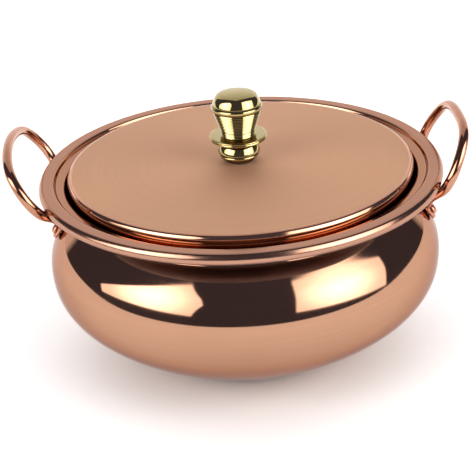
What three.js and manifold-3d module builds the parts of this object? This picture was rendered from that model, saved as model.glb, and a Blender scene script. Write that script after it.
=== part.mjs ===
// Lidded two-handled copper cooking pot. Millimetres, +Z up, base plane at z = 0,
// pot axis on the Z axis, loop handles on +X and -X, each set round a little towards +Y.
import * as THREE from "three";
import { mergeVertices } from "three/addons/utils/BufferGeometryUtils.js";
import Module from "manifold-3d";

// ---------------------------------------------------------------- driving dimensions
const AROUND = 48; // facets round the pot and the lid
const GAP = 0.3; // assembly clearance between neighbouring pieces

const RIM_R = 118.0; // outer radius of the rolled rim
const RIM_TOP = 117.07; // top of the flat flange
const ROLL_R = 3.47; // outer radius of the rolled edge
const RIM_SHEET = 1.3; // sheet thickness in the flange and the roll
const WIRE_R = 1.75; // wire inside the rolled edge
const WALL = 1.4; // sheet thickness of the pot body
const CURL_END = 152; // degrees, where the curl stops short of the flange

const LID_TOP = 121.5; // top of the lid at its centre
const LID_EDGE = 106.7; // lower edge of the lid skirt
const LID_R = 101.0; // skirt radius
const LID_CORNER = 2.8; // radius between the lid's top and its skirt
const LID_SHEET = 1.2;

const ROD_R = 3.0; // handle rod
const LOOP_Z = 105.0;
const LOOP_X = { left: 110.68, right: 112.12 }; // where the loop plane crosses z = LOOP_Z
const LEAN = { left: 56.91, right: 64.11 }; // degrees of the loop plane above horizontal
const SET_BACK = 2.04; // degrees that each handle sits round the pot towards +Y
const PALM_W = 9.6; // flattened rod end: width
const PALM_T = 3.0; // and thickness
const PALM_LIFT = 0.32; // clearance between the flattened end and the shoulder
// rivet centres on the shoulder: side of the pot, sideways distance, height
const RIVETS = {
  rivet_left_front: { side: -1, y: -14.3, z: 88.2 },
  rivet_left_rear: { side: -1, y: 14.8, z: 87.9 },
  rivet_right_front: { side: 1, y: -17.9, z: 86.7 },
  rivet_right_rear: { side: 1, y: 17.3, z: 87.0 },
};
const SHANK_R = 2.0; // rivet shank
const HOLE_R = 2.3; // rivet holes
const HEAD_R = 3.4; // outer domed head
const HEAD_H = 1.8;
const PEEN_R = 3.5; // hammered inner head
const PEEN_H = 1.2;

const BORE_R = 2.8; // screw hole in the lid, the washer and the knob
const SCREW_R = 2.5;
const WASHER_R = 7.0;

// ---------------------------------------------------------------- materials
const copper = (color, roughness) =>
  new THREE.MeshStandardMaterial({ color, roughness, metalness: 1 });
const MAT = {
  pot_body: copper(0xc4937a, 0.22),
  rim_wire: new THREE.MeshStandardMaterial({ color: 0x8d8f92, roughness: 0.5, metalness: 1 }),
  handle: copper(0xc98a64, 0.28),
  rivet: copper(0xbd7c58, 0.34),
  lid: copper(0xc09a7c, 0.38),
  knob: new THREE.MeshStandardMaterial({ color: 0xd8b873, roughness: 0.18, metalness: 1 }),
  screw: new THREE.MeshStandardMaterial({ color: 0xb6a068, roughness: 0.35, metalness: 1 }),
};

// ---------------------------------------------------------------- helpers
const wasm = await Module();
wasm.setup();
const rad = (d) => (d * Math.PI) / 180;

// A closed solid of revolution about +Z from (radius, height) pairs.
function revolve(profile, segments) {
  const pts = profile.map(([r, z]) => new THREE.Vector2(r, z));
  if (profile[0][0] > 0) pts.push(pts[0].clone());
  const g = new THREE.LatheGeometry(pts, segments);
  g.rotateX(Math.PI / 2);
  return g;
}

// Position-only geometry with shared vertices and no collapsed triangles.
function welded(geometry) {
  const src = geometry.index ? geometry.toNonIndexed() : geometry;
  const bare = new THREE.BufferGeometry();
  bare.setAttribute("position", src.getAttribute("position"));
  const m = mergeVertices(bare, 1e-3);
  const keep = [];
  const ix = m.index.array;
  for (let i = 0; i < ix.length; i += 3) {
    const [a, b, c] = [ix[i], ix[i + 1], ix[i + 2]];
    if (a !== b && b !== c && c !== a) keep.push(a, b, c);
  }
  m.setIndex(keep);
  return m;
}

function solid(geometry) {
  const m = welded(geometry);
  return new wasm.Manifold(
    new wasm.Mesh({
      numProp: 3,
      vertProperties: new Float32Array(m.attributes.position.array),
      triVerts: new Uint32Array(m.index.array),
    }),
  );
}

function geometryOf(manifold) {
  const m = manifold.getMesh();
  const n = m.numProp;
  const v = new Float32Array(m.numVert * 3);
  for (let i = 0; i < m.numVert; i++)
    v.set(m.vertProperties.subarray(i * n, i * n + 3), i * 3);
  const g = new THREE.BufferGeometry();
  g.setAttribute("position", new THREE.BufferAttribute(v, 3));
  g.setIndex(new THREE.BufferAttribute(new Uint32Array(m.triVerts), 1));
  return g;
}

// Points moved sideways by t along the mean normal of their two edges.
function offset(points, t) {
  return points.map((p, i) => {
    const a = points[Math.max(0, i - 1)];
    const b = points[Math.min(points.length - 1, i + 1)];
    const dx = b[0] - a[0];
    const dz = b[1] - a[1];
    const l = Math.hypot(dx, dz);
    return [p[0] - (dz / l) * t, p[1] + (dx / l) * t];
  });
}

const polar = (cx, cz, r, deg) => [
  cx + r * Math.cos(rad(deg)),
  cz + r * Math.sin(rad(deg)),
];

// ---------------------------------------------------------------- pot body
// Outside of the bellied shell, from the edge of the flat base up to the throat of the neck.
const BELLY = [
  [48.0, 1.25],
  [53.2, 3.3],
  [63.9, 9.8],
  [74.9, 16.3],
  [85.5, 22.9],
  [95.1, 29.4],
  [103.0, 36.0],
  [108.9, 42.5],
  [112.8, 49.0],
  [114.9, 55.6],
  [115.65, 62.0],
  [115.5, 68.7],
  [114.95, 72.0],
  [114.06, 75.0],
  [113.0, 78.0],
  [111.85, 81.0],
  [110.45, 84.0],
  [108.6, 87.0],
  [106.4, 90.0],
  [103.95, 93.0],
  [101.4, 96.0],
  [98.95, 99.0],
  [97.7, 100.8],
  [97.4, 101.9],
];
// Inside of the neck, from the throat over the lid's seat up to the flange.
const NECK_IN = [
  [96.2, 101.8],
  [96.3, 103.0],
  [97.0, 104.2],
  [98.4, 105.1],
  [100.2, 105.9],
  [101.4, 106.6],
  [102.2, 107.6],
  [103.2, 109.3],
  [104.2, 111.5],
  [105.0, 113.4],
  [105.9, 115.2],
  [107.3, 116.5],
  [109.2, RIM_TOP],
];
const ROLL_X = RIM_R - ROLL_R;
const ROLL_Z = RIM_TOP - ROLL_R;
const HOLLOW_R = ROLL_R - RIM_SHEET;

const neckOut = [
  [97.8, 102.7],
  [98.8, 103.4],
  [100.6, 104.2],
  [102.3, 105.2],
  [103.4, 106.5],
  [104.4, 108.5],
  [105.5, 111.2],
  [106.4, 113.2],
  [107.3, 114.8],
  [109.2, RIM_TOP - RIM_SHEET],
];
const hollow = [90, 54, 18, -18, -54, -90, -126, -162, CURL_END - 360].map((a) =>
  polar(ROLL_X, ROLL_Z, HOLLOW_R, a),
);
const roll = [CURL_END - 360, -180, -150, -120, -90, -60, -30, 0, 30, 60, 90].map((a) =>
  polar(ROLL_X, ROLL_Z, ROLL_R, a),
);
const insideBelly = offset([[44, 0], ...BELLY], WALL).slice(1, -1);
const potProfile = [
  [0, 0],
  [44, 0],
  ...BELLY,
  ...neckOut,
  ...hollow,
  ...roll,
  ...NECK_IN.slice().reverse(),
  ...insideBelly.reverse(),
  [43.6, WALL],
  [0, WALL],
];

// Radius of the outside at a height on the shoulder, and the unit outward normal there.
function shoulder(z) {
  for (let i = 1; i < BELLY.length; i++) {
    const [r0, z0] = BELLY[i - 1];
    const [r1, z1] = BELLY[i];
    if (z <= z1) {
      const before = BELLY[Math.max(0, i - 2)];
      const after = BELLY[Math.min(BELLY.length - 1, i + 1)];
      const u = (z - z0) / (z1 - z0);
      const d0 = [r1 - before[0], z1 - before[1]];
      const d1 = [after[0] - r0, after[1] - z0];
      const l0 = Math.hypot(...d0);
      const l1 = Math.hypot(...d1);
      const tr = (d0[0] / l0) * (1 - u) + (d1[0] / l1) * u;
      const tz = (d0[1] / l0) * (1 - u) + (d1[1] / l1) * u;
      const l = Math.hypot(tr, tz);
      return { r: r0 + (r1 - r0) * u, nr: tz / l, nz: -tr / l };
    }
  }
  throw new Error("above the shoulder");
}

// A point standing off the shoulder by `off`, at sideways distance y, with its outward normal.
function onShoulder(side, y, z, off) {
  const s = shoulder(z);
  const angle = Math.asin(y / s.r);
  const c = Math.cos(angle) * side;
  const n = new THREE.Vector3(s.nr * c, s.nr * Math.sin(angle), s.nz);
  const p = new THREE.Vector3(s.r * c, y, z).addScaledVector(n, off);
  return { p, n };
}

// ---------------------------------------------------------------- handles
// Half of each hand-bent loop's centre line in its own plane: sideways distance, distance up the plane.
const LOOP = {
  left: [
    [37.96, 4.45],
    [40.46, 8.98],
    [41.85, 13.94],
    [41.7, 19.11],
    [40.38, 24.11],
    [38.06, 28.72],
    [34.67, 32.61],
    [30.34, 35.43],
    [25.53, 37.34],
    [18.0, 39.27],
    [9.0, 40.65],
    [0.0, 41.1],
  ],
  right: [
    [36.5, 2.9],
    [38.45, 7.3],
    [38.96, 12.44],
    [38.04, 17.06],
    [36.08, 21.38],
    [33.76, 25.51],
    [31.01, 29.36],
    [27.52, 32.55],
    [23.35, 34.79],
    [16.6, 36.78],
    [8.3, 37.65],
    [0.0, 37.79],
  ],
};
// Where each rod passes in under the rolled rim: sideways distance, radius, height, and
// which way the section's short axis points (outward, upward).
const UNDER = {
  left: [
    [35.4, 117.4, 107.0, 0.75, -0.66],
    [32.1, 115.0, 105.3, 0.7, -0.7],
    [28.4, 112.4, 102.9, 0.75, -0.66],
    [24.4, 110.0, 100.0, 0.9, -0.4],
    [20.1, 108.3, 96.8, 0.95, 0.2],
  ],
  right: [
    [34.3, 117.6, 105.8, 0.75, -0.66],
    [31.8, 115.4, 103.9, 0.7, -0.7],
    [28.9, 113.0, 101.4, 0.75, -0.66],
    [25.6, 110.7, 98.7, 0.9, -0.4],
    [22.6, 109.4, 95.3, 0.95, 0.2],
  ],
};

function handleGeometry(side) {
  const which = side < 0 ? "left" : "right";
  const lean = rad(LEAN[which]);
  const up = new THREE.Vector3(side * Math.cos(lean), 0, Math.sin(lean));
  const planeNormal = new THREE.Vector3(side * Math.sin(lean), 0, -Math.cos(lean));
  const inPlane = (y, s) => {
    const p = new THREE.Vector3(side * LOOP_X[which], y, LOOP_Z).addScaledVector(up, s);
    // keep the rod clear of the rolled rim
    const r = Math.hypot(p.x, p.y);
    const dr = r - ROLL_X;
    const dz = p.z - ROLL_Z;
    const d = Math.hypot(dr, dz);
    const need = ROLL_R + ROD_R + 0.33;
    if (d < need) {
      const k = (need - d) / d;
      p.x += (p.x / r) * dr * k;
      p.y += (p.y / r) * dr * k;
      p.z += dz * k;
    }
    return p;
  };
  const mid = PALM_LIFT + PALM_T / 2;
  // one leg, from the end of the flattened palm up to the loop
  const leg = (sy) => {
    const { y, z } = Object.values(RIVETS).find((r) => r.side === side && r.y * sy > 0);
    const at = (dy, dz, off, w, t, k) => ({
      ...onShoulder(side, y + sy * dy, z + dz, off),
      w,
      t,
      k,
    });
    return [
      at(-0.6, -3.9, mid, 5.0, PALM_T * 0.8, 1),
      at(-0.5, -3.4, mid, 7.6, PALM_T, 1),
      at(-0.3, -2.4, mid, PALM_W, PALM_T, 0),
      at(0, 0, mid, PALM_W, PALM_T, 0),
      at(0.6, 2.8, mid + 0.04, PALM_W * 0.96, PALM_T, 0),
      at(2.0, 5.2, mid + 0.9, 8.2, 3.9, 0.6),
    ];
  };
  const under = (sy) =>
    UNDER[which]
      .map(([v, r, z, nr, nz], i) => {
        const a = Math.asin((sy * v) / r);
        const n = new THREE.Vector3(side * Math.cos(a) * nr, Math.sin(a) * nr, nz);
        const p = new THREE.Vector3(side * Math.cos(a) * r, Math.sin(a) * r, z);
        const u = Math.max(0, i - 2) / 2;
        return { p, n, w: 2 * ROD_R + 0.8 * u, t: 2 * ROD_R - 0.9 * u, k: 1 };
      })
      .reverse();
  const rod = LOOP[which].map(([y, s]) => ({ y, s }));
  const stations = [
    ...leg(-1),
    ...under(-1),
    ...rod.map(({ y, s }) => ({ p: inPlane(-y, s), n: planeNormal, w: 2 * ROD_R, t: 2 * ROD_R, k: 1 })),
    ...rod
      .slice(0, -1)
      .reverse()
      .map(({ y, s }) => ({ p: inPlane(y, s), n: planeNormal, w: 2 * ROD_R, t: 2 * ROD_R, k: 1 })),
    ...under(1).reverse(),
    ...leg(1).reverse(),
  ];
  const RING = 12;
  const position = [];
  const index = [];
  stations.forEach((st, i) => {
    const a = stations[Math.max(0, i - 1)].p;
    const b = stations[Math.min(stations.length - 1, i + 1)].p;
    const tangent = b.clone().sub(a).normalize();
    const e2 = st.n.clone().addScaledVector(tangent, -st.n.dot(tangent)).normalize();
    const e1 = tangent.clone().cross(e2).normalize();
    for (let j = 0; j < RING; j++) {
      const q = (2 * Math.PI * (j + 0.5)) / RING;
      // k = 1 is an ellipse, k = 0 a flat bar with rounded edges
      const power = 0.45 + 0.55 * st.k;
      const c = Math.sign(Math.cos(q)) * Math.abs(Math.cos(q)) ** power;
      const s = Math.sign(Math.sin(q)) * Math.abs(Math.sin(q)) ** power;
      const v = st.p
        .clone()
        .addScaledVector(e1, (c * st.w) / 2)
        .addScaledVector(e2, (s * st.t) / 2);
      position.push(v.x, v.y, v.z);
    }
  });
  const at = (i, j) => i * RING + (j % RING);
  const last = stations.length - 1;
  for (let i = 0; i < last; i++)
    for (let j = 0; j < RING; j++)
      index.push(at(i, j), at(i + 1, j), at(i, j + 1), at(i, j + 1), at(i + 1, j), at(i + 1, j + 1));
  const capStart = position.length / 3;
  position.push(...stations[0].p.toArray(), ...stations[last].p.toArray());
  for (let j = 0; j < RING; j++) {
    index.push(capStart, at(0, j), at(0, j + 1));
    index.push(capStart + 1, at(last, j + 1), at(last, j));
  }
  const g = new THREE.BufferGeometry();
  g.setAttribute("position", new THREE.Float32BufferAttribute(position, 3));
  g.setIndex(index);
  return g.rotateZ(rad(side * SET_BACK));
}

// ---------------------------------------------------------------- rivets
// Turned about +Z here, then laid along the shoulder's normal; local z = 0 is the pot's outside.
function placeOnRivet(geometry, { side, y, z }) {
  const { p, n } = onShoulder(side, y, z, 0);
  const turn = new THREE.Quaternion().setFromUnitVectors(new THREE.Vector3(0, 0, 1), n);
  geometry.applyQuaternion(turn);
  geometry.translate(p.x, p.y, p.z);
  return geometry.rotateZ(rad(side * SET_BACK));
}
const HEAD_AT = PALM_LIFT + PALM_T + GAP;
const PEEN_AT = -WALL - 0.5;
function rivetGeometry(spot) {
  const profile = [
    [0, PEEN_AT - PEEN_H],
    [PEEN_R * 0.6, PEEN_AT - PEEN_H * 0.88],
    [PEEN_R * 0.93, PEEN_AT - PEEN_H * 0.5],
    [PEEN_R, PEEN_AT],
    [SHANK_R, PEEN_AT],
    [SHANK_R, HEAD_AT],
    [HEAD_R, HEAD_AT],
    [HEAD_R, HEAD_AT + 0.35],
    [HEAD_R * 0.86, HEAD_AT + HEAD_H * 0.6],
    [HEAD_R * 0.5, HEAD_AT + HEAD_H * 0.92],
    [0, HEAD_AT + HEAD_H],
  ];
  return placeOnRivet(revolve(profile, 16), spot);
}
function rivetHole(spot) {
  const profile = [
    [0, -6],
    [HOLE_R, -6],
    [HOLE_R, 6],
    [0, 6],
  ];
  return solid(placeOnRivet(revolve(profile, 16), spot));
}
const holes = Object.fromEntries(
  Object.entries(RIVETS).map(([name, spot]) => [name, rivetHole(spot)]),
);

// ---------------------------------------------------------------- lid
const corner = (r) =>
  [75, 60, 45, 30, 15, 0].map((a) =>
    polar(LID_R - LID_CORNER, LID_TOP - 1.5 - LID_CORNER, r, a),
  );
const lidTop = [
  [BORE_R, LID_TOP],
  [35, LID_TOP - 0.2],
  [66, LID_TOP - 0.7],
  [LID_R - LID_CORNER, LID_TOP - 1.5],
  ...corner(LID_CORNER),
  [LID_R, 112.0],
  [LID_R, LID_EDGE],
];
const lidProfile = [
  ...lidTop.slice().reverse(),
  [BORE_R, LID_TOP - LID_SHEET],
  [35, LID_TOP - 0.2 - LID_SHEET],
  [66, LID_TOP - 0.7 - LID_SHEET],
  [LID_R - LID_CORNER, LID_TOP - 1.5 - LID_SHEET],
  ...corner(LID_CORNER - LID_SHEET),
  [LID_R - LID_SHEET, LID_EDGE],
];

// ---------------------------------------------------------------- knob and its fixing
const KNOB_FOOT = LID_TOP + GAP;
const knobProfile = [
  [BORE_R, KNOB_FOOT],
  [9.0, KNOB_FOOT],
  [11.0, 123.6],
  [12.0, 126.7],
  [11.6, 130.2],
  [11.3, 133.9],
  [15.4, 134.5],
  [16.8, 135.3],
  [16.8, 136.3],
  [15.9, 136.9],
  [9.4, 136.9],
  [9.3, 137.6],
  [9.85, 139.7],
  [9.55, 140.3],
  [10.2, 140.9],
  [12.5, 147.5],
  [14.3, 152.5],
  [14.9, 153.1],
  [14.6, 154.8],
  [13.7, 155.6],
  [13.6, 157.0],
  [12.7, 159.5],
  [10.9, 161.8],
  [7.6, 163.2],
  [4.0, 163.5],
  [0, 163.6],
  [0, 141.2],
  [BORE_R, 139.6],
];
const WASHER_TOP = LID_TOP - LID_SHEET - GAP;
const washerProfile = [
  [BORE_R, WASHER_TOP - 1.0],
  [WASHER_R - 0.2, WASHER_TOP - 1.0],
  [WASHER_R, WASHER_TOP - 0.8],
  [WASHER_R, WASHER_TOP - 0.2],
  [WASHER_R - 0.2, WASHER_TOP],
  [BORE_R, WASHER_TOP],
];
const HEAD_TOP = WASHER_TOP - 1.0 - GAP;
const screwProfile = [
  [0, HEAD_TOP - 2.7],
  [2.6, HEAD_TOP - 2.6],
  [4.0, HEAD_TOP - 2.1],
  [4.7, HEAD_TOP - 1.1],
  [4.8, HEAD_TOP],
  [SCREW_R, HEAD_TOP],
  [SCREW_R, 138.2],
  [1.9, 139.0],
  [0, 139.0],
];

// ---------------------------------------------------------------- assembly
const root = new THREE.Group();
root.name = "lidded_copper_pot";
function add(name, geometry, material) {
  const g = welded(geometry);
  g.computeVertexNormals();
  const mesh = new THREE.Mesh(g, material.clone());
  mesh.name = name;
  root.add(mesh);
}

let body = solid(revolve(potProfile, AROUND));
for (const name in holes) body = body.subtract(holes[name]);
add("pot_body", geometryOf(body), MAT.pot_body);

add(
  "rim_wire",
  revolve(
    [0, 45, 90, 135, 180, 225, 270, 315].map((a) => polar(ROLL_X, ROLL_Z, WIRE_R, a)),
    AROUND,
  ),
  MAT.rim_wire,
);

for (const [name, side] of [
  ["handle_left", -1],
  ["handle_right", 1],
]) {
  let h = solid(handleGeometry(side));
  for (const [rivet, spot] of Object.entries(RIVETS))
    if (spot.side === side) h = h.subtract(holes[rivet]);
  add(name, geometryOf(h), MAT.handle);
}
for (const [name, spot] of Object.entries(RIVETS)) add(name, rivetGeometry(spot), MAT.rivet);

add("lid", revolve(lidProfile, AROUND), MAT.lid);
add("knob", revolve(knobProfile, 32), MAT.knob);

// cross recess in the screw head, cut from below
let screw = solid(revolve(screwProfile, 24));
for (const [w, d] of [
  [4.4, 1.0],
  [1.0, 4.4],
]) {
  const slot = new THREE.BoxGeometry(w, d, 2.8);
  slot.translate(0, 0, HEAD_TOP - 2.7);
  screw = screw.subtract(solid(slot));
}
add("knob_screw", geometryOf(screw), MAT.screw);
add("knob_washer", revolve(washerProfile, 24), MAT.screw);

export default root;
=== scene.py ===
# Lidded two-handled copper cooking pot on a pale floor. Lengths below are millimetres in the
# pot's own frame (+Z up, base plane at z = 0) and become metres when a mesh is made.
import math

import bpy
import numpy as np
from mathutils import Matrix, Vector


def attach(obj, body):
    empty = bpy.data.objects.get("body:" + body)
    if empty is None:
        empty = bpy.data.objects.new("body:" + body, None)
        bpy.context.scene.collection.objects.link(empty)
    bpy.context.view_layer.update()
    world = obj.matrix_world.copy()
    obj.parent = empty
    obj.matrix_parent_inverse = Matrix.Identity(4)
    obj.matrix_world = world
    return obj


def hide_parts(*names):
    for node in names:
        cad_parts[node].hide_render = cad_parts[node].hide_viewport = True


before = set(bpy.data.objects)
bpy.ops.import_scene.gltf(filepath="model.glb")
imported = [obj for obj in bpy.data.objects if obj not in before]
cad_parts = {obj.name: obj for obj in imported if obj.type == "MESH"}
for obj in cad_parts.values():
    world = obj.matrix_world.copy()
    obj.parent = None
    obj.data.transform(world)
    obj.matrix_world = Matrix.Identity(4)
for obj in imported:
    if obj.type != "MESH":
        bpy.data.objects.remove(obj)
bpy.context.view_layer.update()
MM = 0.001
rad = math.radians


# ------------------------------------------------------------------ camera
def vec(*v):
    return np.array(v, float)


PSI, TILT, ROLL = rad(0.615), rad(25.442), rad(-3.504)
back = vec(-math.cos(TILT) * math.sin(PSI), -math.cos(TILT) * math.cos(PSI), math.sin(TILT))
right0 = vec(math.cos(PSI), -math.sin(PSI), 0)
up0 = np.cross(right0, -back)
right = math.cos(ROLL) * right0 + math.sin(ROLL) * up0
up = -math.sin(ROLL) * right0 + math.cos(ROLL) * up0
cam = bpy.data.objects.new("camera", bpy.data.cameras.new("camera"))
bpy.context.scene.collection.objects.link(cam)
cam.matrix_world = Matrix(
    (
        (right[0], up[0], back[0], -0.01436),
        (right[1], up[1], back[1], -0.83087),
        (right[2], up[2], back[2], 0.46808),
        (0, 0, 0, 1),
    )
)
cam.data.sensor_width = 36
cam.data.lens = 117.98
cam.data.clip_start = 0.01
cam.data.clip_end = 200
bpy.context.scene.camera = cam
bpy.context.scene.view_settings.view_transform = "Standard"


# ------------------------------------------------------------------ curve helpers
def dense(points, step=0.1):
    p = np.array(points, float)
    d = np.sqrt((np.diff(p, axis=0) ** 2).sum(1))
    s = np.concatenate([[0], np.cumsum(d)])
    n = max(2, int(round(s[-1] / step)) + 1)
    t = np.linspace(0, s[-1], n)
    return np.column_stack([np.interp(t, s, p[:, i]) for i in range(p.shape[1])])


def smooth(points, sigma, step=0.1):
    """Evenly spaced points with the corners eased over about sigma. The ends stay."""
    p = dense(points, step)
    k = min(int(3 * sigma / step), len(p) - 2)
    g = np.exp(-0.5 * (np.arange(-k, k + 1) * step / sigma) ** 2)
    g /= g.sum()
    head = 2 * p[0] - p[k:0:-1]
    tail = 2 * p[-1] - p[-2 : -k - 2 : -1]
    q = np.vstack([head, p, tail])
    return np.column_stack([np.convolve(q[:, i], g, "valid") for i in range(p.shape[1])])


def thinned(p, length=1.6, turn=5.0):
    """Fewer points: one each time the curve has run `length` or turned `turn` degrees."""
    keep, run, bend = [0], 0.0, 0.0
    d = np.diff(p, axis=0)
    ang = np.arctan2(d[:, 1], d[:, 0])
    for i in range(1, len(p) - 1):
        run += math.hypot(*d[i - 1])
        bend += abs((ang[i] - ang[i - 1] + math.pi) % (2 * math.pi) - math.pi)
        if run >= length or bend >= rad(turn):
            keep.append(i)
            run = bend = 0.0
    keep.append(len(p) - 1)
    return p[keep]


def arc(cx, cz, r, a0, a1, step=4):
    n = max(2, int(abs(a1 - a0) / step) + 1)
    return [(cx + r * math.cos(rad(a)), cz + r * math.sin(rad(a))) for a in np.linspace(a0, a1, n)]


def offset(p, t):
    d = np.gradient(p, axis=0)
    d /= np.sqrt((d**2).sum(1))[:, None]
    return np.column_stack([p[:, 0] - d[:, 1] * t, p[:, 1] + d[:, 0] * t])


# ------------------------------------------------------------------ mesh helpers
def make_object(name, verts, faces, material_of_face, materials):
    mesh = bpy.data.meshes.new(name)
    mesh.from_pydata([tuple(v) for v in np.asarray(verts) * MM], [], faces)
    for m in materials:
        mesh.materials.append(m)
    mesh.polygons.foreach_set("material_index", material_of_face)
    mesh.polygons.foreach_set("use_smooth", [True] * len(faces))
    mesh.update()
    ob = bpy.data.objects.new(name, mesh)
    bpy.context.scene.collection.objects.link(ob)
    return ob


def lathe(name, profile, segments, materials, which=None, place=None):
    """Closed solid of revolution. The profile runs anticlockwise in (radius, height); both ends
    may lie on the axis, else the last point joins the first. `which(r, z, i)` picks a material."""
    p = np.array(profile, float)
    on_axis = p[0, 0] < 1e-6 and p[-1, 0] < 1e-6
    body = p[1:-1] if on_axis else p
    a = np.linspace(0, 2 * math.pi, segments, endpoint=False)
    ca, sa = np.cos(a), np.sin(a)
    verts = np.array([(r * c, r * s, z) for r, z in body for c, s in zip(ca, sa)])
    faces, mats = [], []
    n = len(body)

    def pick(i, j):
        if which is None:
            return 0
        return which((body[i, 0] + body[j, 0]) / 2, (body[i, 1] + body[j, 1]) / 2, i)

    for i in range(n if not on_axis else n - 1):
        j = (i + 1) % n
        m = pick(i, j)
        for k in range(segments):
            l = (k + 1) % segments
            faces.append((i * segments + k, i * segments + l, j * segments + l, j * segments + k))
            mats.append(m)
    if on_axis:
        lo = len(verts)
        verts = np.vstack([verts, [[0, 0, p[0, 1]], [0, 0, p[-1, 1]]]])
        for k in range(segments):
            l = (k + 1) % segments
            faces.append((lo, l, k))
            mats.append(pick(0, 0))
            faces.append((lo + 1, (n - 1) * segments + k, (n - 1) * segments + l))
            mats.append(pick(n - 1, n - 1))
    if place is not None:
        verts = place(verts)
    return make_object(name, verts, faces, mats, materials)


# ------------------------------------------------------------------ materials
def noise_node(nt, vector, scale, detail=2.0, rough=0.5):
    n = nt.nodes.new("ShaderNodeTexNoise")
    n.inputs["Scale"].default_value = scale
    n.inputs["Detail"].default_value = detail
    n.inputs["Roughness"].default_value = rough
    nt.links.new(vector, n.inputs["Vector"])
    return n.outputs["Fac"]


def math_node(nt, op, a, b=None, clamp=False):
    n = nt.nodes.new("ShaderNodeMath")
    n.operation = op
    n.use_clamp = clamp
    for i, v in enumerate((a, b)):
        if v is None:
            continue
        if isinstance(v, (int, float)):
            n.inputs[i].default_value = v
        else:
            nt.links.new(v, n.inputs[i])
    return n.outputs[0]


def map_node(nt, value, lo, hi, to_lo, to_hi):
    n = nt.nodes.new("ShaderNodeMapRange")
    n.inputs["From Min"].default_value = lo
    n.inputs["From Max"].default_value = hi
    n.inputs["To Min"].default_value = to_lo
    n.inputs["To Max"].default_value = to_hi
    nt.links.new(value, n.inputs["Value"])
    return n.outputs["Result"]


def metal(
    name,
    light,
    dark,
    rough,
    lines=900.0,
    along=9.0,
    line_bump=0.0,
    patch=14.0,
    dent=0.0,
    anisotropy=0.0,
    turned=True,
    edge_tint=(1.0, 1.0, 1.0),
):
    """Metal with brush or spinning lines that run round the Z axis (turned) or along the noise
    (not turned), slow patches of tone, and gloss that varies with both."""
    m = bpy.data.materials.new(name)
    m.use_nodes = True
    nt = m.node_tree
    bsdf = nt.nodes["Principled BSDF"]
    bsdf.inputs["Metallic"].default_value = 1.0
    bsdf.inputs["Specular Tint"].default_value = (*edge_tint, 1)
    coord = nt.nodes.new("ShaderNodeTexCoord")
    sep = nt.nodes.new("ShaderNodeSeparateXYZ")
    nt.links.new(coord.outputs["Object"], sep.inputs[0])
    x, y, z = sep.outputs
    if turned:
        r = math_node(nt, "SQRT", math_node(nt, "ADD", math_node(nt, "MULTIPLY", x, x), math_node(nt, "MULTIPLY", y, y)))
        comb = nt.nodes.new("ShaderNodeCombineXYZ")
        nt.links.new(math_node(nt, "ADD", math_node(nt, "MULTIPLY", r, lines), math_node(nt, "MULTIPLY", x, along)), comb.inputs[0])
        nt.links.new(math_node(nt, "MULTIPLY", y, along), comb.inputs[1])
        nt.links.new(math_node(nt, "MULTIPLY", z, lines), comb.inputs[2])
        vector = comb.outputs[0]
        fine = noise_node(nt, vector, 1.0, 3.0, 0.6)
    else:
        fine = noise_node(nt, coord.outputs["Object"], lines, 3.0, 0.6)
    slow = noise_node(nt, coord.outputs["Object"], patch, 2.0)
    mixed = math_node(nt, "ADD", math_node(nt, "MULTIPLY", fine, 0.45), math_node(nt, "MULTIPLY", slow, 0.55))
    ramp = nt.nodes.new("ShaderNodeMix")
    ramp.data_type = "RGBA"
    ramp.inputs["A"].default_value = (*dark, 1)
    ramp.inputs["B"].default_value = (*light, 1)
    nt.links.new(map_node(nt, mixed, 0.34, 0.66, 0, 1), ramp.inputs["Factor"])
    result = [o for o in ramp.outputs if o.type == "RGBA"][0]
    nt.links.new(result, bsdf.inputs["Base Color"])
    nt.links.new(map_node(nt, mixed, 0.3, 0.7, rough[0], rough[1]), bsdf.inputs["Roughness"])
    if anisotropy:
        bsdf.inputs["Anisotropic"].default_value = anisotropy
        bsdf.inputs["Anisotropic Rotation"].default_value = 0.25
    if line_bump or dent:
        height = math_node(
            nt, "ADD", math_node(nt, "MULTIPLY", fine, line_bump), math_node(nt, "MULTIPLY", slow, dent)
        )
        bump = nt.nodes.new("ShaderNodeBump")
        bump.inputs["Strength"].default_value = 1.0
        bump.inputs["Distance"].default_value = 0.001
        nt.links.new(height, bump.inputs["Height"])
        nt.links.new(bump.outputs["Normal"], bsdf.inputs["Normal"])
    return m


polished = metal(
    "copper_polished", (0.48, 0.26, 0.165), (0.43, 0.23, 0.144), (0.035, 0.07), lines=1500, along=7, line_bump=0.001,
    anisotropy=0.55, edge_tint=(0.72, 0.6, 0.58),
)
flange_copper = metal(
    "copper_flange", (0.475, 0.258, 0.178), (0.42, 0.222, 0.151), (0.14, 0.2), lines=900, along=7, line_bump=0.002,
    edge_tint=(0.8, 0.68, 0.64),
)
# painted shade: a dark rough copper for the underside of the rim, the neck under the flange and the inside of the curl,
# where shade falls
rim_painted_shade = metal("copper_rim_painted_shade", (0.19, 0.16, 0.18), (0.13, 0.11, 0.125), (0.5, 0.62), lines=500, along=9, line_bump=0.003, patch=40)
satin = metal(
    "copper_satin", (0.81, 0.505, 0.325), (0.75, 0.458, 0.292), (0.68, 0.78), lines=700, along=6, line_bump=0.001, patch=9
)
lid_edge = metal(
    "copper_lid_edge", (0.66, 0.35, 0.225), (0.6, 0.31, 0.2), (0.07, 0.12), lines=900, along=7, line_bump=0.001
)
rod_copper = metal(
    "copper_rod", (0.54, 0.265, 0.17), (0.44, 0.205, 0.13), (0.06, 0.14), lines=420, patch=60, dent=0.05, turned=False
)
rivet_copper = metal(
    "copper_rivet", (0.66, 0.31, 0.2), (0.5, 0.22, 0.14), (0.16, 0.3), lines=900, patch=260, dent=0.08, turned=False
)
tin = metal("tin_lining", (0.56, 0.56, 0.54), (0.46, 0.46, 0.45), (0.3, 0.42), lines=500, along=10, line_bump=0.003, patch=24)
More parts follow.
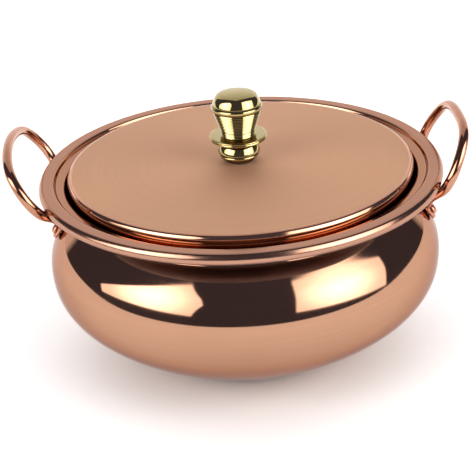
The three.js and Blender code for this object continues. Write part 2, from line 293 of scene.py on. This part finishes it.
brass = metal(
    "brass_polished", (0.47, 0.38, 0.17), (0.41, 0.325, 0.135), (0.03, 0.06), lines=1600, along=20, line_bump=0.001, patch=50
)
# painted shade: a near-black rough brass for the knob's grooves and the undersides of its bulb and disc, where shade
# falls
brass_painted_shade = metal(
    "brass_painted_shade", (0.1, 0.072, 0.03), (0.065, 0.047, 0.02), (0.4, 0.5), lines=600, along=20, line_bump=0.002, patch=80
)
brass_plain = metal("brass_plain", (0.62, 0.48, 0.24), (0.5, 0.37, 0.17), (0.24, 0.36), lines=900, patch=160, turned=False)
steel = metal("steel_wire", (0.5, 0.5, 0.51), (0.38, 0.38, 0.4), (0.3, 0.42), lines=700, patch=120, turned=False)

# ------------------------------------------------------------------ pot
RIM_R, RIM_TOP, ROLL_R, SHEET, WALL = 118.0, 117.07, 3.47, 1.3, 1.4
ROLL_X, ROLL_Z = RIM_R - ROLL_R, RIM_TOP - ROLL_R
belly = [
    (48.0, 1.25), (53.2, 3.3), (58.5, 6.5), (63.9, 9.8), (69.4, 13.1), (74.9, 16.3), (80.3, 19.6),
    (85.5, 22.9), (90.5, 26.2), (95.1, 29.4), (99.2, 32.7), (103.0, 36.0), (106.2, 39.2),
    (108.9, 42.5), (111.1, 45.8), (112.8, 49.0), (114.05, 52.3), (114.9, 55.6), (115.4, 58.8),
    (115.65, 62.1), (115.7, 65.4), (115.5, 68.7), (114.95, 72.0), (114.06, 75.0), (113.0, 78.0),
    (111.85, 81.0), (110.45, 84.0), (108.6, 87.0), (106.4, 90.0), (103.95, 93.0), (101.4, 96.0),
    (98.95, 99.0), (97.7, 100.8), (97.4, 101.9),
]
shell = smooth([(44.0, 0.0)] + belly[:-2], 2.2)
neck_out = [
    (97.7, 100.8), (97.4, 101.9), (97.8, 102.7), (98.8, 103.4), (100.6, 104.2), (102.3, 105.2), (103.4, 106.5),
    (103.75, 108.5), (103.9, 110.2), (104.2, 111.6), (105.0, 112.4), (106.5, 112.7), (108.1, 112.9), (109.1, 113.5),
    (109.7, 114.5), (110.3, 115.45), (111.4, RIM_TOP - SHEET),
]
neck_in = [
    (110.0, RIM_TOP), (109.2, 116.7), (108.75, 115.9), (108.4, 115.0), (108.0, 114.4), (107.2, 114.15), (103.9, 114.05),
    (103.2, 113.7), (102.9, 113.0), (102.6, 112.0), (102.4, 110.5), (102.2, 107.6), (101.4, 106.6), (100.2, 105.9),
    (98.4, 105.1), (97.0, 104.2), (96.3, 103.0), (96.2, 101.8),
]
outside = smooth([tuple(q) for q in shell] + neck_out + [(ROLL_X, RIM_TOP - SHEET)], 0.45)
curl_in = arc(ROLL_X, ROLL_Z, ROLL_R - SHEET, 90, -208)
roll_top = [
    (118.0, 113.4), (117.9, 114.1), (117.68, 114.8), (117.35, 115.5), (116.95, 116.1), (116.55, 116.6), (116.1, 116.93),
    (115.5, RIM_TOP), (ROLL_X, RIM_TOP),
]
curl_out = arc(ROLL_X, ROLL_Z, ROLL_R, -208, -8) + [tuple(q) for q in thinned(smooth(roll_top, 0.2, 0.05), 0.5, 5)]
inner_shell = offset(smooth([(44.0, 0.0)] + belly[:-1], 2.2), WALL)
inner_shell = inner_shell[(inner_shell[:, 1] < 100.6) & (inner_shell[:, 1] > WALL + 0.3)][::-1]
inside = smooth([(ROLL_X, RIM_TOP)] + neck_in + [tuple(q) for q in inner_shell] + [(43.6, WALL), (40, WALL)], 0.3)
outside, inside = thinned(outside), thinned(inside)
pot_profile = np.vstack(
    [
        [(0, 0), (6, 0), (14, 0), (24, 0), (34, 0), (41, 0)],
        outside,
        np.array(curl_in[1:]),
        np.array(curl_out[:-1]),
        inside,
        [(34, WALL), (24, WALL), (14, WALL), (6, WALL), (0, WALL)],
    ]
)
first_inside = 6 + len(outside) + len(curl_in) - 1 + len(curl_out) - 1


def pot_material(r, z, i):
    """1: flange and rolled edge, 2: tinned inside, 3: painted shade, a dark rough copper under the rim, on the neck
    below the flange and inside the curl, 0: the rest, with the ledge.
    """
    if i >= first_inside - 1:
        return 2 if z <= 105.6 else 0 if z < 116.9 and r < 110.4 else 1
    if i < 6 + len(outside) - 1:
        # the neck under the flange gets the painted shade
        return 3 if z > 101.5 and r < 116 else 0
    angle = math.degrees(math.atan2(z - ROLL_Z, r - ROLL_X))
    # the inside of the curl and the underside of the roll get the painted shade
    if math.hypot(r - ROLL_X, z - ROLL_Z) < ROLL_R - 0.4 or not -40 < angle < 100:
        return 3
    return 1


pot = lathe("pot_shell", pot_profile, 192, [polished, flange_copper, tin, rim_painted_shade], pot_material)
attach(pot, "pot")
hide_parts("pot_body")


# ------------------------------------------------------------------ handles and rivets
HANDLE = {
    -1: dict(
        name="left", x=110.68, lean=56.91,
        loop=[(37.96, 4.45), (40.46, 8.98), (41.85, 13.94), (41.7, 19.11), (40.38, 24.11), (38.06, 28.72),
              (34.67, 32.61), (30.34, 35.43), (25.53, 37.34), (18.0, 39.27), (9.0, 40.65), (0.0, 41.1)],
        under=[(35.4, 117.4, 107.0, 0.75, -0.66), (32.1, 115.0, 105.3, 0.7, -0.7), (28.4, 112.4, 102.9, 0.75, -0.66),
               (24.4, 110.0, 100.0, 0.9, -0.4), (20.1, 108.3, 96.8, 0.95, 0.2)],
        rivets={-1: (-14.3, 88.2), 1: (14.8, 87.9)},
    ),
    1: dict(
        name="right", x=112.12, lean=64.11,
        loop=[(36.5, 2.9), (38.45, 7.3), (38.96, 12.44), (38.04, 17.06), (36.08, 21.38), (33.76, 25.51),
              (31.01, 29.36), (27.52, 32.55), (23.35, 34.79), (16.6, 36.78), (8.3, 37.65), (0.0, 37.79)],
        under=[(34.3, 117.6, 105.8, 0.75, -0.66), (31.8, 115.4, 103.9, 0.7, -0.7), (28.9, 113.0, 101.4, 0.75, -0.66),
               (25.6, 110.7, 98.7, 0.9, -0.4), (22.6, 109.4, 95.3, 0.95, 0.2)],
        rivets={-1: (-17.9, 86.7), 1: (17.3, 87.0)},
    ),
}
LOOP_Z, SET_BACK, ROD_R = 105.0, 2.04, 3.0
PALM_W, PALM_T, PALM_LIFT = 9.6, 3.0, 0.32
HEAD_AT = PALM_LIFT + PALM_T + 0.3
PEEN_AT = -WALL - 0.5
shoulder_curve = shell


def shoulder(z):
    zz, rr = shoulder_curve[:, 1], shoulder_curve[:, 0]
    r = float(np.interp(z, zz, rr))
    a = (np.interp(z - 1, zz, rr), z - 1)
    b = (np.interp(z + 1, zz, rr), z + 1)
    l = math.hypot(b[0] - a[0], 2)
    return r, 2 / l, -(b[0] - a[0]) / l


def on_shoulder(side, y, z, off):
    r, nr, nz = shoulder(z)
    a = math.asin(y / r)
    c = math.cos(a) * side
    n = vec(nr * c, nr * math.sin(a), nz)
    return vec(r * c, y, z) + n * off, n


def set_back(v, side):
    a = rad(side * SET_BACK)
    v = np.atleast_2d(v)
    return np.column_stack([v[:, 0] * math.cos(a) - v[:, 1] * math.sin(a), v[:, 0] * math.sin(a) + v[:, 1] * math.cos(a), v[:, 2]])


def handle_stations(side):
    h = HANDLE[side]
    lean = rad(h["lean"])
    upv = vec(side * math.cos(lean), 0, math.sin(lean))
    plane_n = vec(side * math.sin(lean), 0, -math.cos(lean))

    def in_plane(y, s):
        p = vec(side * h["x"], y, LOOP_Z) + upv * s
        r = math.hypot(p[0], p[1])
        dr, dz = r - ROLL_X, p[2] - ROLL_Z
        d = math.hypot(dr, dz)
        need = ROLL_R + ROD_R + 0.33
        if d < need:
            k = (need - d) / d
            p = p + vec(p[0] / r * dr * k, p[1] / r * dr * k, dz * k)
        return p

    mid = PALM_LIFT + PALM_T / 2

    def leg(sy):
        y, z = h["rivets"][sy]
        rows = []

        def at(dy, dz, off, w, t, k):
            p, n = on_shoulder(side, y + sy * dy, z + dz, off)
            rows.append((*p, *n, w, t, k))

        for f in (0.995, 0.93, 0.8, 0.6, 0.35, 0.1):
            e = math.sqrt(1 - f * f)
            at(-0.3 - 0.3 * f, -2.0 - 2.0 * f, mid, PALM_W * max(0.16, e), PALM_T * (0.55 + 0.45 * e), 0.35)
        at(0, 0, mid, PALM_W, PALM_T, 0.25)
        at(0.3, 1.4, mid, PALM_W, PALM_T, 0.25)
        at(0.6, 2.8, mid + 0.04, PALM_W * 0.96, PALM_T, 0.3)
        at(2.0, 5.2, mid + 0.9, 8.2, 3.9, 0.6)
        return rows

    def under(sy):
        rows = []
        for i, (v, r, z, nr, nz) in enumerate(h["under"]):
            a = math.asin(sy * v / r)
            u = max(0, i - 2) / 2
            rows.append((side * math.cos(a) * r, math.sin(a) * r, z, side * math.cos(a) * nr, math.sin(a) * nr, nz,
                         2 * ROD_R + 0.8 * u, 2 * ROD_R - 0.9 * u, 1))
        return rows[::-1]

    def rod(y, s):
        return (*in_plane(y, s), *plane_n, 2 * ROD_R - 0.14, 2 * ROD_R - 0.14, 1)

    loop = h["loop"]
    return (
        leg(-1) + under(-1) + [rod(-y, s) for y, s in loop]
        + [rod(y, s) for y, s in loop[:-1][::-1]] + under(1)[::-1] + leg(1)[::-1]
    )


def sweep(name, side, material):
    st = np.array(handle_stations(side))
    # the rod's path is eased between the bent stations, its ends kept as they are
    fine = dense_rows(st, 0.5)
    eased = fine.copy()
    sigma = 3.2
    k = int(3 * sigma / 0.5)
    g = np.exp(-0.5 * (np.arange(-k, k + 1) * 0.5 / sigma) ** 2)
    g /= g.sum()
    pad = np.vstack([2 * fine[0] - fine[k:0:-1], fine, 2 * fine[-1] - fine[-2 : -k - 2 : -1]])
    for c in range(9):
        eased[:, c] = np.convolve(pad[:, c], g, "valid")
    s = np.concatenate([[0], np.cumsum(np.sqrt((np.diff(fine[:, :3], axis=0) ** 2).sum(1)))])
    blend = np.clip((np.minimum(s, s[-1] - s) - 7.0) / 7.0, 0, 1)[:, None]
    fine = fine * (1 - blend) + eased * blend
    ring = 36
    verts, faces = [], []
    n = len(fine)
    for i in range(n):
        p, nrm, w, t, kk = fine[i, :3], fine[i, 3:6], fine[i, 6], fine[i, 7], fine[i, 8]
        tangent = fine[min(n - 1, i + 1), :3] - fine[max(0, i - 1), :3]
        tangent /= np.linalg.norm(tangent)
        e2 = nrm - tangent * (nrm @ tangent)
        e2 /= np.linalg.norm(e2)
        e1 = np.cross(tangent, e2)
        q = 2 * math.pi * (np.arange(ring) + 0.5) / ring
        power = 0.45 + 0.55 * kk
        c = np.sign(np.cos(q)) * np.abs(np.cos(q)) ** power
        d = np.sign(np.sin(q)) * np.abs(np.sin(q)) ** power
        verts.append(p + np.outer(c * w / 2, e1) + np.outer(d * t / 2, e2))
    verts = set_back(np.vstack(verts), side)
    for i in range(n - 1):
        for j in range(ring):
            l = (j + 1) % ring
            faces.append((i * ring + j, i * ring + l, (i + 1) * ring + l, (i + 1) * ring + j))
    ends = set_back(np.array([fine[0, :3], fine[-1, :3]]), side)
    lo = len(verts)
    verts = np.vstack([verts, ends])
    for j in range(ring):
        l = (j + 1) % ring
        faces.append((lo, l, j))
        faces.append((lo + 1, (n - 1) * ring + j, (n - 1) * ring + l))
    ob = make_object(name, verts, faces, [0] * len(faces), [material])
    return ob


def dense_rows(rows, step):
    """A smooth curve through the stations, evenly spaced, with every column carried along."""
    p = rows
    d = np.sqrt((np.diff(p[:, :3], axis=0) ** 2).sum(1))
    s = np.concatenate([[0], np.cumsum(d)])
    n = int(s[-1] / step) + 1
    t = np.linspace(0, s[-1], n)
    m = np.gradient(p, s, axis=0)
    i = np.clip(np.searchsorted(s, t, "right") - 1, 0, len(s) - 2)
    h = (s[i + 1] - s[i])[:, None]
    u = ((t - s[i]) / (s[i + 1] - s[i]))[:, None]
    out = (
        (2 * u**3 - 3 * u**2 + 1) * p[i] + (u**3 - 2 * u**2 + u) * h * m[i]
        + (-2 * u**3 + 3 * u**2) * p[i + 1] + (u**3 - u**2) * h * m[i + 1]
    )
    out[:, 6:] = (1 - u) * p[i, 6:] + u * p[i + 1, 6:]
    return out


head = smooth(
    [(3.4, HEAD_AT), (3.4, HEAD_AT + 0.35), (2.95, HEAD_AT + 1.08), (1.75, HEAD_AT + 1.66), (0.0, HEAD_AT + 1.8)], 0.22, 0.05
)
peen = smooth(
    [(0.0, PEEN_AT - 1.2), (2.1, PEEN_AT - 1.06), (3.25, PEEN_AT - 0.6), (3.5, PEEN_AT)], 0.22, 0.05
)
rivet_profile = np.vstack([thinned(peen, 0.4, 8), [(2.0, PEEN_AT), (2.0, HEAD_AT)], thinned(head, 0.4, 8)])

for side, h in HANDLE.items():
    ob = sweep(f"handle_{h['name']}_rod", side, rod_copper)
    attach(ob, "pot")
    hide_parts(f"handle_{h['name']}")
    for sy, where in ((-1, "front"), (1, "rear")):
        y, z = h["rivets"][sy]
        p, n = on_shoulder(side, y, z, 0)
        turn = np.array(Vector((0, 0, 1)).rotation_difference(Vector(n)).to_matrix())

        def place(v, p=p, turn=turn, side=side):
            return set_back(v @ turn.T + p, side)

        ob = lathe(f"rivet_{h['name']}_{where}_head", rivet_profile, 40, [rivet_copper], None, place)
        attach(ob, "pot")
        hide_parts(f"rivet_{h['name']}_{where}")

# ------------------------------------------------------------------ lid
LID_TOP, LID_EDGE, LID_R, CORNER, LID_SHEET, BORE = 121.5, 106.7, 101.0, 2.8, 1.2, 2.8
corner = [
    (LID_R, 117.43), (LID_R - 0.04, 117.71), (LID_R - 0.31, 118.41), (LID_R - 0.73, 119.1), (LID_R - 0.98, 119.38),
    (LID_R - 1.29, 119.62), (LID_R - 1.85, 119.88), (LID_R - 2.62, 120.0),
]
top = [(LID_R, LID_EDGE + 0.35), (LID_R, 112)] + corner + [
    (66, LID_TOP - 0.7), (35, LID_TOP - 0.2), (BORE, LID_TOP)]
under_lid = [(BORE, LID_TOP - LID_SHEET), (35, LID_TOP - 0.2 - LID_SHEET), (66, LID_TOP - 0.7 - LID_SHEET)] + [
    tuple(q) for q in offset(np.array(corner), LID_SHEET)[::-1]] + [(LID_R - LID_SHEET, 112), (LID_R - LID_SHEET, LID_EDGE + 0.35)]
edge = arc(LID_R - LID_SHEET / 2, LID_EDGE + 0.35, LID_SHEET / 2, 180, 360, 30)
edge = [(r, LID_EDGE + 0.35 + (z - LID_EDGE - 0.35) * 0.35 / 0.6) for r, z in edge]
lid_profile = np.vstack([thinned(smooth(top, 0.18), 2.4, 4), thinned(smooth(under_lid, 0.18), 2.4, 6), edge[1:-1]])
lid = lathe(
    "lid_sheet", lid_profile, 192, [satin, lid_edge], lambda r, z, i: 1 if r > LID_R - CORNER - 0.5 else 0
)
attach(lid, "lid")
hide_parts("lid")

# ------------------------------------------------------------------ knob
FOOT = LID_TOP + 0.3
bulb = [
    (2.8, FOOT), (8.2, FOOT), (8.7, 122.1), (9.8, 123.1), (10.9, 124.2), (11.55, 125.0), (11.8, 125.5), (11.85, 125.9),
    (11.6, 126.35), (11.3, 126.65), (11.35, 126.95), (12.05, 127.25), (12.35, 127.55), (12.1, 128.4), (11.75, 129.5), (11.3, 130.6),
    (10.75, 131.7), (10.1, 132.7), (9.5, 133.4), (9.4, 134.0), (10.4, 134.3), (12.2, 134.4), (14.4, 134.45), (15.6, 134.7),
    (16.35, 135.2), (16.7, 135.75), (16.3, 136.2), (16.3, 136.4), (16.75, 136.8), (16.55, 137.3), (15.8, 137.65), (12.2, 137.7), (10.0, 137.75),
]
rings = []
z, pitch = 137.9, 1.05
while z < 152.6:
    low = np.interp(z, [137.9, 140.6, 141.0, 152.9], [10.15, 10.5, 10.45, 14.35])
    rings += [(low, z), (low - 0.13, z + pitch * 0.33), (low - 0.36, z + pitch * 0.74), (low - 0.5, z + pitch * 0.95)]
    z += pitch
cap = [
    (14.1, 153.0), (14.75, 153.5), (14.95, 154.2), (14.85, 155.1), (14.5, 155.75), (14.0, 156.1), (13.8, 156.35), (14.0, 156.6),
    (13.68, 157.6), (13.28, 158.7), (12.82, 159.8), (12.25, 160.85), (11.55, 161.7), (10.5, 162.35), (9.0, 162.8), (7.0, 163.12),
    (4.0, 163.45), (0.0, 163.6),
]
knob_outer = np.vstack(
    [thinned(smooth(bulb, 0.16, 0.05), 0.8, 6)[:-1], thinned(smooth([bulb[-1]] + rings + [cap[0]], 0.07, 0.03), 0.5, 10),
     thinned(smooth(cap, 0.16, 0.05), 0.8, 6)[1:]]
)
knob_profile = np.vstack([[(0, 139.8)], [(2.8, 139.6), (2.8, 128.0)], knob_outer])
# bands of the knob, given by height and up to a radius, that are painted dark as shade
PAINTED_SHADE_BANDS = ((FOOT - 1, 125.0, 99), (126.3, 127.4, 99), (133.0, 134.9, 15.9), (140.5, 140.95, 99), (152.6, 153.6, 99), (156.1, 156.55, 99))


def knob_material(r, z, i):
    """1: painted shade, a near-black rough brass in the grooves and under the bulb and the disc, 0: the rest."""
    return 1 if any(lo < z < hi and 3 < r < most for lo, hi, most in PAINTED_SHADE_BANDS) else 0


knob = lathe("knob_turned", knob_profile, 96, [brass, brass_painted_shade], knob_material)
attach(knob, "lid")
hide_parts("knob")

washer_profile = smooth([(2.8, 119.0), (6.8, 119.0), (7.0, 119.2), (7.0, 119.8), (6.8, 120.0), (2.8, 120.0)], 0.08, 0.05)
washer = lathe("washer_disc", thinned(washer_profile, 1.0, 12), 64, [brass_plain])
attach(washer, "lid")
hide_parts("knob_washer")

for node, material in (("knob_screw", brass_plain), ("rim_wire", steel)):
    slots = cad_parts[node].material_slots
    for s in slots:
        s.material = material

# ------------------------------------------------------------------ floor
floor_material = bpy.data.materials.new("floor_pale")
floor_material.use_nodes = True
nt = floor_material.node_tree
bsdf = nt.nodes["Principled BSDF"]
bsdf.inputs["Roughness"].default_value = 0.9
bsdf.inputs["Specular IOR Level"].default_value = 0.0
coord = nt.nodes.new("ShaderNodeTexCoord")
grain = noise_node(nt, coord.outputs["Object"], 3.0, 2.0)
tone = nt.nodes.new("ShaderNodeMix")
tone.data_type = "RGBA"
tone.inputs["A"].default_value = (0.86, 0.86, 0.86, 1)
tone.inputs["B"].default_value = (0.88, 0.88, 0.88, 1)
nt.links.new(grain, tone.inputs["Factor"])
nt.links.new([o for o in tone.outputs if o.type == "RGBA"][0], bsdf.inputs["Base Color"])
size, cells = 40000.0, 8
grid = np.linspace(-size, size, cells + 1)
floor_verts = [(x, y, -0.1) for y in grid for x in grid]
floor_faces = [
    (j * (cells + 1) + i, j * (cells + 1) + i + 1, (j + 1) * (cells + 1) + i + 1, (j + 1) * (cells + 1) + i)
    for j in range(cells) for i in range(cells)
]
floor = make_object("floor", floor_verts, floor_faces, [0] * len(floor_faces), [floor_material])

# ------------------------------------------------------------------ studio
# A dim room with two large soft lights in front and a pale wall behind. Bearings are degrees
# from -Y towards +X, heights are degrees above the horizon.
SOFT_RIGHT = [(32.0, 48.6), (25.0, 10.0), (82.5, 1.0), (93.0, 28.0)]
SOFT_LEFT = [(-41.7, 48.0), (-94.5, 12.0), (-91.0, 4.8), (-33.0, 10.4), (-27.5, 26.2), (-30.3, 36.2)]
HOT = [(57.0, 24.0), (-62.0, 26.0)]


def bearing(az, el):
    return vec(math.cos(rad(el)) * math.sin(rad(az)), -math.cos(rad(el)) * math.cos(rad(az)), math.sin(rad(el)))


world = bpy.data.worlds.new("studio")
world.use_nodes = True
bpy.context.scene.world = world
nt = world.node_tree
nt.nodes.clear()
coord = nt.nodes.new("ShaderNodeTexCoord")
norm = nt.nodes.new("ShaderNodeVectorMath")
norm.operation = "NORMALIZE"
nt.links.new(coord.outputs["Generated"], norm.inputs[0])
direction = norm.outputs[0]


def dot(axis):
    n = nt.nodes.new("ShaderNodeVectorMath")
    n.operation = "DOT_PRODUCT"
    n.inputs[1].default_value = tuple(axis)
    nt.links.new(direction, n.inputs[0])
    return n.outputs["Value"]


def soft_light(corners, hot, edge, core):
    c = [bearing(*q) for q in corners]
    mid = sum(c) / len(c)
    mask = None
    for a, b in zip(c, c[1:] + c[:1]):
        n = np.cross(a, b)
        n /= np.linalg.norm(n)
        if n @ mid < 0:
            n = -n
        side = map_node(nt, dot(n), -0.006, 0.016, 0, 1)
        mask = side if mask is None else math_node(nt, "MULTIPLY", mask, side)
    glow = map_node(nt, dot(bearing(*hot)), math.cos(rad(30)), 1.0, 0, 1)
    glow = math_node(nt, "MULTIPLY", glow, glow)
    level = math_node(nt, "ADD", math_node(nt, "MULTIPLY", glow, core), edge)
    return math_node(nt, "MULTIPLY", mask, level)


lights = math_node(
    nt, "ADD", soft_light(SOFT_RIGHT, HOT[0], 2.5, 4.0), soft_light(SOFT_LEFT, HOT[1], 2.5, 4.0)
)
sep = nt.nodes.new("ShaderNodeSeparateXYZ")
nt.links.new(direction, sep.inputs[0])
dx, dy, dz = sep.outputs
flat = math_node(
    nt, "SQRT",
    math_node(nt, "ADD", math_node(nt, "ADD", math_node(nt, "MULTIPLY", dx, dx), math_node(nt, "MULTIPLY", dy, dy)), 0.0005),
)
behind = map_node(nt, math_node(nt, "DIVIDE", math_node(nt, "ADD", dy, -0.005), flat), 0.63, 0.7, 0, 1)
ramp = nt.nodes.new("ShaderNodeValToRGB")
nt.links.new(dz, ramp.inputs["Fac"])
stops = [(0.0, 1.15), (0.32, 1.1), (0.45, 0.97), (0.54, 0.85), (0.8, 0.66), (1.0, 0.58)]
while len(ramp.color_ramp.elements) < len(stops):
    ramp.color_ramp.elements.new(0.5)
for e, (at, v) in zip(ramp.color_ramp.elements, stops):
    e.position = at
    e.color = (v, v, v, 1)
wall = math_node(nt, "MULTIPLY", behind, ramp.outputs["Color"])
room = math_node(nt, "ADD", lights, wall)
below = map_node(nt, dz, -0.002, 0.002, 1, 0)
room = math_node(nt, "MAXIMUM", room, below)
seen = nt.nodes.new("ShaderNodeBackground")
seen.inputs["Color"].default_value = (1, 1, 1, 1)
lit = nt.nodes.new("ShaderNodeBackground")
tint = nt.nodes.new("ShaderNodeCombineXYZ")
for i, (gain, dim) in enumerate(((1.0, 0.082), (0.985, 0.08), (0.955, 0.11))):
    nt.links.new(math_node(nt, "ADD", math_node(nt, "MULTIPLY", room, gain), dim), tint.inputs[i])
nt.links.new(tint.outputs[0], lit.inputs["Color"])
path = nt.nodes.new("ShaderNodeLightPath")
mix = nt.nodes.new("ShaderNodeMixShader")
nt.links.new(path.outputs["Is Camera Ray"], mix.inputs[0])
nt.links.new(lit.outputs[0], mix.inputs[1])
nt.links.new(seen.outputs[0], mix.inputs[2])
out = nt.nodes.new("ShaderNodeOutputWorld")
nt.links.new(mix.outputs[0], out.inputs["Surface"])


# a broad lamp overhead that only the floor takes light from
lamp = bpy.data.lights.new("overhead", "SUN")
lamp.energy = 2.6
lamp.angle = rad(120)
lamp_object = bpy.data.objects.new("overhead", lamp)
lamp_object.visible_glossy = False
bpy.context.scene.collection.objects.link(lamp_object)
